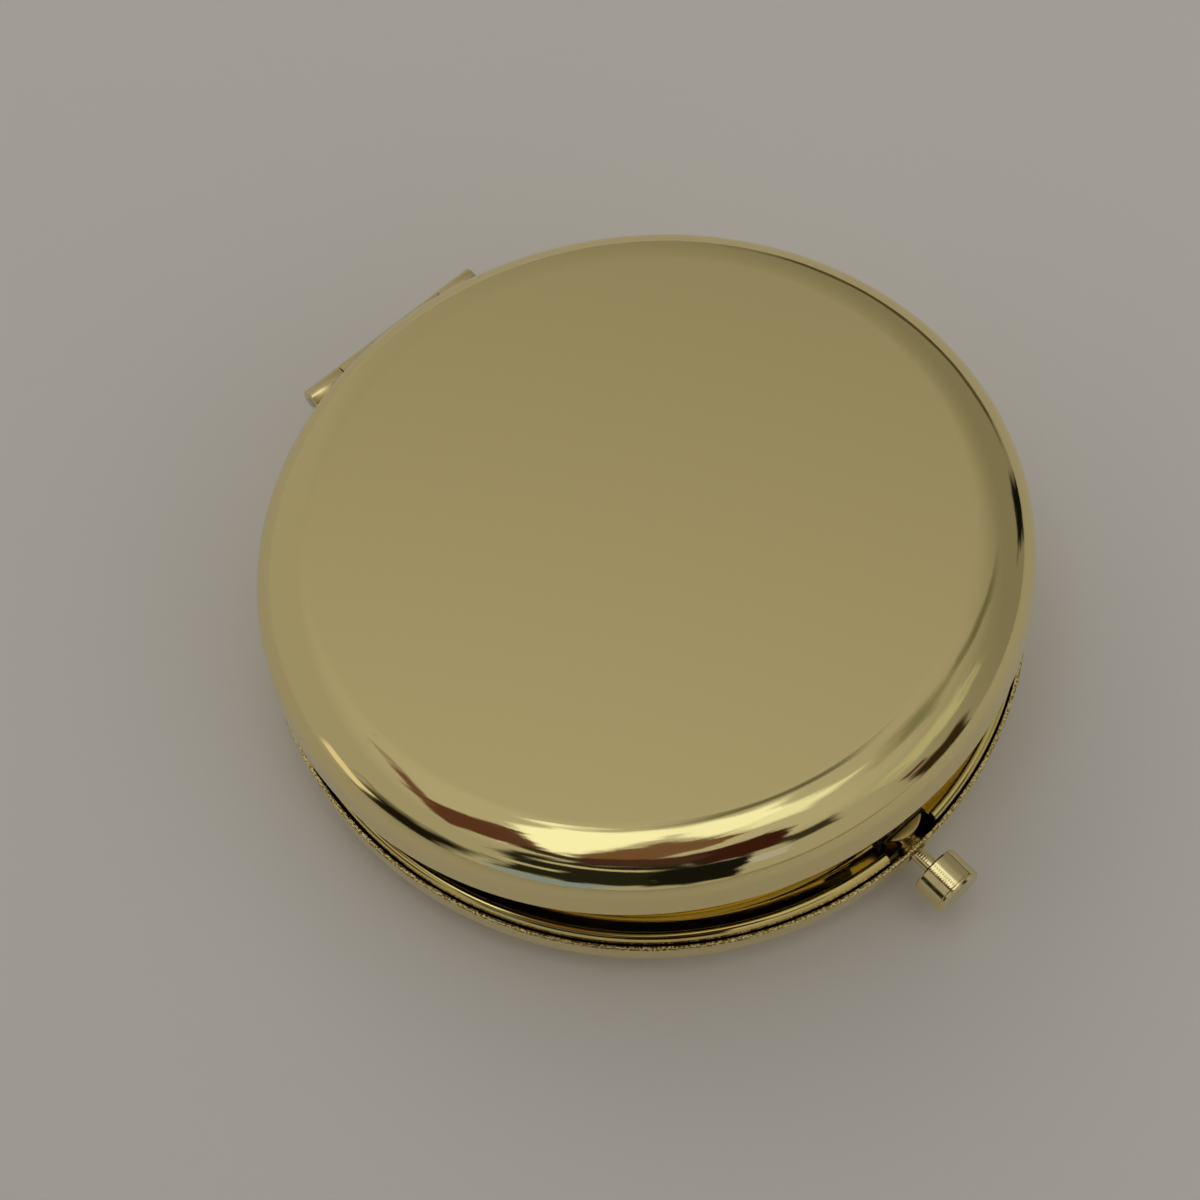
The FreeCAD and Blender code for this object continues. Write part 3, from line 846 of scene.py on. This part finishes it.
# %% [markdown]
# ## The push-knob
#
# The knob, its stem and the stop washer are turned parts, so they are spun about the
# plunger's axis from the profile that the tool would cut. The knob has a small chamfer at
# the finger end, a fine groove just behind it, a faint dish in its face, and a bore for the
# stem. The groove could be a line in the material, but only a real groove catches light.


# %% Turn the knob
def turned(points, closed=False):
    """Spin (radius, along) points about the plunger's axis."""
    bm = spin(points, 96, "Y", closed)
    bmesh.ops.translate(bm, vec=(0, 0, plunger_z), verts=bm.verts[:])
    return bm


chamfer, back_chamfer = 0.2, 0.15
dish, dish_edge = 0.12, 0.02
fine_groove, groove_setback = 0.05, 0.42
stem_low, stem_high = box_mm("plunger_stem")
knob_radius = (knob_high.z - knob_low.z) / 2
knob_bore = stem_radius + 0.01
groove_y = knob_low.y + groove_setback
points = [
    (0, knob_low.y + dish),
    (knob_radius - 2 * chamfer, knob_low.y + dish_edge),
    (knob_radius - chamfer, knob_low.y),
    (knob_radius, knob_low.y + chamfer),
    (knob_radius, groove_y - fine_groove),
    (knob_radius - fine_groove, groove_y),
    (knob_radius, groove_y + fine_groove),
    (knob_radius, knob_high.y - back_chamfer),
    (knob_radius - back_chamfer, knob_high.y),
    (knob_bore, knob_high.y),
    (knob_bore, stem_low.y),
    (0, stem_low.y),
]
bm = turned(points)
finish_piece(
    "push_knob_turned", bm, "plunger", "push_knob", [turned_gold], crease=25
)

# %% [markdown]
# ## The stem and the stop washer
#
# The stem runs from the knob through the wall to the latch. It has a groove for the snap
# ring that holds the washer, and a thin end that is put through the slide and peened over.
# The washer stops the plunger against the wall from inside.

# %% Turn the stem
neck = 0.55
peen_radius, peen_round, peen_side = 0.95, 0.1, 0.16
clip_low, clip_high = box_mm("stem_clip")
web_back = slide_high.y
web_front = web_back - leaf_sheet
points = [
    (0, stem_low.y),
    (stem_radius, stem_low.y),
    (stem_radius, clip_low.y),
    (neck, clip_low.y),
    (neck, clip_high.y),
    (stem_radius, clip_high.y),
    (stem_radius, web_front),
    (neck, web_front),
    (neck, web_back),
    (peen_radius, web_back),
    (peen_radius - peen_round, web_back + peen_side),
    (neck, stem_high.y),
    (0, stem_high.y),
]
bm = turned(points)
finish_piece("plunger_stem_turned", bm, "plunger", "plunger_stem", [turned_gold])

# %% Turn the washer
washer_low, washer_high = box_mm("stop_washer")
washer_radius = (washer_high.z - washer_low.z) / 2
washer_bore = stem_radius + 0.03
washer_ease = 0.06
points = [
    (washer_bore, washer_low.y),
    (washer_radius - washer_ease, washer_low.y),
    (washer_radius, washer_low.y + washer_ease),
    (washer_radius, washer_high.y - washer_ease),
    (washer_radius - washer_ease, washer_high.y),
    (washer_bore, washer_high.y),
]
bm = turned(points, closed=True)
finish_piece("stop_washer_turned", bm, "plunger", "stop_washer", [latch_brass])

# %% [markdown]
# ## The latch slide
#
# The slide is a bent strip: an upright web on the stem, and a flange with a round nose that
# reaches forward over the lid's hook. It could be one bent plane, but its two outlines lie
# across each other, so the web is a thin extruded section, and the nose is a slice of a disc
# with its upper edge rounded over by a bevel.


# %% Bend the slide
def extrude(outline, offset):
    """A prism: a flat outline drawn out along an offset."""
    bm = bmesh.new()
    face = bm.faces.new([bm.verts.new(place) for place in outline])
    side = bmesh.ops.extrude_face_region(bm, geom=[face])
    moved = [v for v in side["geom"] if isinstance(v, bmesh.types.BMVert)]
    bmesh.ops.translate(bm, vec=offset, verts=moved)
    return bm


slide_half, nose_top = slide_high.x, slide_high.z
bend_outer, bend_inner = 0.5, 0.1
flange_y = web_front - bend_inner
bend = (flange_y, nose_top - bend_outer)
section = [(web_back, slide_low.z)]
section += oval_bend(bend, web_back - flange_y, bend_outer, 0, 90, 8)
section += oval_bend(bend, web_front - flange_y, bend_inner, 90, 0, 4)
section += [(web_front, slide_low.z)]
bm = extrude([(-slide_half, y, z) for y, z in section], (2 * slide_half, 0, 0))
print(f"web of the slide {2 * slide_half:.1f} mm wide")

# %% Round the nose of the slide
nose_half, nose_round = 1.9, 0.12
nose_tip, nose_y = -wall_inside + 0.65, flange_y + 0.05
outline = bow((-nose_half, nose_y), (0, nose_tip), (nose_half, nose_y), 24)
nose = extrude([(x, y, nose_top - leaf_sheet) for x, y in outline], (0, 0, leaf_sheet))
top = [e for e in nose.edges if all(v.co.z > nose_top - near for v in e.verts)]
curved = [e for e in top if e.calc_length() < nose_half]
bmesh.ops.bevel(
    nose, geom=curved, offset=nose_round, affect="EDGES", segments=3, profile=0.5, material=-1
)
join(bm, nose)
bmesh.ops.recalc_face_normals(bm, faces=bm.faces[:])
finish_piece("latch_slide_bent", bm, "plunger", "latch_slide", [latch_brass])

# %% [markdown]
# ## The return spring
#
# The coil spring behind the slide pushes the knob back out. A curve with a round bevel would
# give a coil too, but a wire's circle that is spun with a drift along the axis needs no
# conversion and closes its own ends. On the real compact the spring shortens towards its
# bracket when the knob is pressed. Here it rides on the base and gets a mesh of its own, and
# nothing squashes it.

# %% Wind the spring
wire, coil_radius = 0.25, 1.3
turns, steps_per_turn = 3, 40
steps = turns * steps_per_turn
spring_low, spring_high = box_mm("return_spring")
spring_length = spring_high.y - spring_low.y - wire
wire_start = (coil_radius, spring_low.y + wire / 2, plunger_z)
bm = bmesh.new()
bmesh.ops.create_circle(bm, segments=12, radius=wire / 2, cap_ends=True)
bmesh.ops.translate(bm, vec=wire_start, verts=bm.verts[:])
bmesh.ops.spin(
    bm,
    geom=bm.verts[:] + bm.edges[:] + bm.faces[:],
    cent=(0, 0, plunger_z),
    axis=(0, -1, 0),
    dvec=(0, spring_length / steps, 0),
    angle=2 * math.pi * turns,
    steps=steps,
    use_merge=False,
)
bmesh.ops.remove_doubles(bm, verts=bm.verts[:], dist=tiny)
bmesh.ops.recalc_face_normals(bm, faces=bm.faces[:])
coil = finish_piece(
    "return_spring_coil", bm, "base", "return_spring", [drawn_steel], crease=50
)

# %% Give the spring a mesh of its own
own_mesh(coil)

# %% [markdown]
# ## Parts that keep their frame shape
#
# The pads, the hinge pin, the spring's bracket, the snap ring and the lid's hook are plain
# enough as they are, and little of them is seen, so they only get their finish.

# %% Finish the plain parts
plain_parts = {
    "base_mirror_pad": white_foam,
    "lid_mirror_pad": white_foam,
    "hinge_pin": drawn_steel,
    "spring_bracket": drawn_steel,
    "stem_clip": latch_brass,
    "lid_catch": latch_brass,
}
for name, material in plain_parts.items():
    for slot in frame["nodes"][name].material_slots:
        slot.material = material
print("plain parts:", ", ".join(plain_parts))

# %% [markdown]
# ## The table
#
# The compact lies on a plain, pale laminate table top: a matt surface with a very faint
# mottle, so that it doesn't look like empty paper. It is a disc so large that its edge is
# far out of the picture and out of the reflections.

# %% Lay the table
table_radius_m, mottle_mm = 4.0, 60
table_top, tree, shader, place = start_material("laminate_table_pale_grey", Roughness=0.6)
cloudy = {"Vector": place, "Scale": per_metre(mottle_mm), "Detail": 2.0}
mottle = add(tree, "TexNoise", cloudy).outputs["Fac"]
colours = {"Factor": mottle, "A": linear("#F0EEEE"), "B": linear("#F3F1F0")}
tint = add(tree, "Mix", colours, data_type="RGBA")
fill(shader, {"Base Color": tint.outputs["Result"]})
bm = bmesh.new()
bmesh.ops.create_circle(bm, segments=96, radius=table_radius_m, cap_ends=True)
mesh = bpy.data.meshes.new("table")
bm.to_mesh(mesh)
bm.free()
mesh.materials.append(table_top)
table = bpy.data.objects.new("table", mesh)
bpy.context.scene.collection.objects.link(table)
print(f"table laid, {2 * table_radius_m:.0f} m across")

# %% [markdown]
# ## The room
#
# A dim, even, warm-grey room gives the calm top of the lid. One flat colour would make the
# lid look cut out, so the room is a little lighter on the left than on the right, and
# lighter overhead, as a room with a pale ceiling is.

# %% Light the room
world = bpy.data.worlds.new("room")
bpy.context.scene.world = world
world.use_nodes = True
tree = world.node_tree
background = tree.nodes["Background"]
direction = add(tree, "TexCoord").outputs["Generated"]
sky = add(tree, "SeparateXYZ", {"Vector": direction}).outputs
rightward = add(tree, "MapRange", {"Value": sky["X"], "From Min": 0.1, "From Max": 0.8})
colours = {"Factor": rightward.outputs["Result"], "A": linear("#A9A59C"), "B": linear("#87837A")}
walls = add(tree, "Mix", colours, data_type="RGBA")
spread = {"From Min": 0.68, "From Max": 0.86, "To Min": 0.97, "To Max": 1.22}
ceiling = add(tree, "MapRange", {"Value": sky["Z"], **spread})
fill(background, {"Color": walls.outputs["Result"], "Strength": ceiling.outputs["Result"]})
print("room is a dim warm grey, lighter on the left and overhead")

# %% [markdown]
# ## Paper for the cards
#
# A polished shell has almost no look of its own: it shows what stands round it. A
# photographer hangs cards and soft lights round such a thing, and so does this scene. A card
# with a hard straight edge looks false in a rounded shoulder, so its paper fades out towards
# edges that are a little torn.


# %% Card paper
tears_per_metre = 9
tear_reach = 0.5


def card_paper(name, half, colour, strength, soft):
    """Glowing paper that fades out towards torn edges. Half sizes in metres."""
    paper = bpy.data.materials.new(f"{name}_paper")
    paper.use_nodes = True
    tree = paper.node_tree
    tree.nodes.clear()
    glow = add(tree, "Emission", {"Color": linear(colour), "Strength": strength})
    place = add(tree, "TexCoord").outputs["Object"]
    unit = {"Vector": place, "Scale": (1 / half[0], 1 / half[1], 1)}
    scaled = add(tree, "Mapping", unit).outputs["Vector"]
    ragged = {"Vector": place, "Scale": tears_per_metre, "Detail": 2.0}
    tear = add(tree, "TexNoise", ragged).outputs["Color"]
    reach = Vector((tear_reach, tear_reach, 0))
    spread = {"Vector": tear, "To Min": -reach, "To Max": reach}
    torn = add(tree, "MapRange", spread, data_type="FLOAT_VECTOR").outputs["Vector"]
    bent = add(tree, "VectorMath", {0: scaled, 1: torn}, operation="ADD")
    out = add(tree, "VectorMath", {0: bent.outputs["Vector"]}, operation="ABSOLUTE")
    axes = add(tree, "SeparateXYZ", {"Vector": out.outputs["Vector"]}).outputs
    edge = add(tree, "Math", {0: axes["X"], 1: axes["Y"]}, operation="MAXIMUM")
    fall = {"Value": edge.outputs["Value"], "From Min": 1.0, "From Max": 1.0 - soft}
    fade = add(tree, "MapRange", fall, interpolation_type="SMOOTHSTEP").outputs["Result"]
    clear = add(tree, "BsdfTransparent").outputs["BSDF"]
    both = add(tree, "MixShader", {0: fade, 1: clear, 2: glow.outputs["Emission"]})
    add(tree, "OutputMaterial", {"Surface": both.outputs["Shader"]})
    return paper


print("card paper ready")

# %% [markdown]
# ## Hanging a card
#
# A reflection only depends on the direction in which a thing stands, so each card is placed
# by two angles as seen from the compact, and its size is given in degrees too. The camera
# doesn't see the cards, but the metal does.


# %% Card helper
card_margin = 1.3


def towards(azimuth, elevation):
    """The direction seen from the compact at two angles, azimuth 0 on the knob side."""
    a, e = math.radians(azimuth), math.radians(elevation)
    return Vector((math.sin(a) * math.cos(e), -math.cos(a) * math.cos(e), math.sin(e)))


def card(name, azimuth, elevation, wide, high, colour, strength, soft, roll, metres):
    """A glowing card that faces the compact. Its place, size and roll are in degrees."""
    half = [metres * math.tan(math.radians(size / 2)) for size in (wide, high)]
    bm = bmesh.new()
    bmesh.ops.create_grid(bm, x_segments=1, y_segments=1, size=card_margin)
    bmesh.ops.scale(bm, vec=(half[0], half[1], 1), verts=bm.verts[:])
    mesh = bpy.data.meshes.new(name)
    bm.to_mesh(mesh)
    bm.free()
    mesh.materials.append(card_paper(name, half, colour, strength, soft))
    sheet = bpy.data.objects.new(name, mesh)
    away = towards(azimuth, elevation)
    rolled = Matrix.Rotation(math.radians(roll), 3, "Z")
    facing = (-away).to_track_quat("Z", "Y").to_matrix() @ rolled
    sheet.location = away * metres
    sheet.rotation_euler = facing.to_euler()
    sheet.visible_camera = False
    bpy.context.scene.collection.objects.link(sheet)
    return sheet


print("card helper ready")

# %% [markdown]
# ## The lights and the cards
#
# Soft lights overhead give the bright band on the near shoulder. Dark cards on the camera's
# side give it the crisp dark patches that make metal read as metal, with a few pale strips
# between them. Cards on the right and at the back keep the far shoulder from going blank.
# Near cards also shade the table a little. Two more soft lights only light the table and
# stay out of the reflections.

# %% Hang the lights and the cards
# Name, azimuth, elevation, width, height, colour, strength, softness, roll, metres away
table_lights = [
    ("soft_light_window", 163, 32, 60, 40, "#FFF8F0", 0.7, 0.4, 0, 1.0),
    ("soft_light_table", 15, 30, 50, 40, "#FFF8F0", 0.7, 0.4, 0, 0.3),
]
cards = [
    ("soft_light_left", -127, 72.5, 46, 15, "#FAFFF6", 1.15, 0.3, 29, 1.0),
    ("soft_light_overhead", 150, 83, 12, 24, "#FAFFF6", 1.1, 0.4, -10, 1.0),
    ("soft_light_front", 45, 83, 20, 15, "#FAFFF0", 0.95, 0.6, 0, 1.0),
    ("soft_light_right", 36, 44, 40, 20, "#B8B9A6", 1.0, 0.7, 0, 1.0),
    ("grey_card_high", 144, 66, 14, 9, "#6A6858", 1.0, 0.8, 0, 1.0),
    ("grey_card_right", 76, 66, 26, 16, "#7F7D6A", 1.0, 0.9, 0, 1.0),
    ("maroon_card_left", -117, 57, 24, 18, "#5C3A30", 1.0, 0.25, 22, 0.9),
    ("maroon_strip_left", -136, 54, 36, 3.5, "#6A4A3C", 1.0, 0.5, 14, 0.9),
    ("black_strip_left", -84, 55, 16, 6, "#3A3026", 1.0, 0.4, 6, 0.6),
    ("brown_card", -66, 72, 15, 26, "#745644", 1.0, 0.15, 12, 0.9),
    ("maroon_card", -28, 55, 24, 26, "#3A1E18", 1.0, 0.25, -12, 0.8),
    ("maroon_card_low", -58, 56, 26, 14, "#482E2B", 1.0, 0.25, 0, 0.7),
    ("grey_card", -62, 32, 44, 44, "#24241F", 1.0, 0.3, 0, 0.5),
    ("black_card_front", -36, 25, 24, 40, "#171711", 1.0, 0.3, 0, 0.48),
    ("black_card_corner", -7, 42, 14, 16, "#3A352A", 1.0, 0.5, 0, 0.46),
    ("black_card_left", -101, 9, 36, 30, "#1C1812", 1.0, 0.6, 0, 0.5),
    ("pale_strip_high", -64, 43, 30, 4, "#B9B3A0", 1.0, 0.4, 3, 0.45),
    ("pale_strip_low", -76, 30, 16, 5, "#B2AE9C", 1.0, 0.4, -6, 0.45),
    ("pale_card_left", -118, 9, 18, 11, "#E6DCC8", 1.0, 0.4, 14, 0.45),
    ("pale_card_front", -19, 29, 10, 15, "#B6B4BE", 1.0, 0.3, 8, 0.45),
    ("blue_card", -67, 7, 32, 13, "#8399BC", 1.0, 0.5, 0, 0.44),
    ("brown_card_low", -10, 2, 62, 9, "#8E8371", 1.0, 0.8, 0, 0.46),
    ("black_card_right", 80, 8, 17, 22, "#12120E", 1.0, 0.6, 0, 1.0),
    ("dark_beam_right", 88, 53, 10, 22, "#6F6C59", 1.0, 0.8, 0, 1.0),
    ("brown_card_right", 26, 10, 20, 24, "#33281A", 1.0, 0.4, 0, 0.5),
    ("red_card_right", 20, 25, 8, 7, "#5E3C2C", 1.0, 0.5, 0, 0.48),
    ("brown_card_back", 112, 5, 50, 10, "#4E4434", 1.0, 0.6, 0, 1.0),
]
for row in table_lights:
    card(*row).visible_glossy = False
for row in cards:
    card(*row)
print(f"{len(table_lights)} lights for the table and {len(cards)} cards hung")

# %% [markdown]
# ## The camera
#
# The camera stands on the knob side, high above the table, and looks down on the lid and into
# the gap below it. It could track an empty object, but a camera that is built from its own
# three axes can be rolled a little and moved sideways exactly. Its direction is given by the
# same two angles as the cards, and the distances are in millimetres.

# %% Set the camera
camera_azimuth, camera_elevation, camera_roll = -40.912, 64.424, -1.708
distance, aim_right, aim_up, aim_height = 216.324, -4.102, -2.383, 8.0
focal_pixels, picture_pixels = 2370.314, 1200
back = towards(camera_azimuth, camera_elevation)
level_right = Vector((0, 0, 1)).cross(back).normalized()
level_up = back.cross(level_right)
roll = math.radians(camera_roll)
right = level_right * math.cos(roll) + level_up * math.sin(roll)
up = level_up * math.cos(roll) - level_right * math.sin(roll)
spot = Vector((0, 0, aim_height)) + back * distance + right * aim_right + up * aim_up
lens = bpy.data.cameras.new("camera")
lens.sensor_fit = "HORIZONTAL"
lens.sensor_width = 36
lens.lens = focal_pixels / picture_pixels * lens.sensor_width
lens.clip_start, lens.clip_end = 0.01, 20
camera = bpy.data.objects.new("camera", lens)
turn = Matrix((right, up, back)).transposed().to_4x4()
camera.matrix_world = Matrix.Translation(spot * MM) @ turn
bpy.context.scene.collection.objects.link(camera)
bpy.context.scene.camera = camera
bpy.context.scene.view_settings.view_transform = "Standard"
print("camera at", [round(c, 4) for c in camera.location])

# %% [markdown]
# ## Bring the scene up to date
#
# The drawn model must stay in the frame's box. At the end the scene is brought up to date.

# %% Update the scene
bpy.context.view_layer.update()
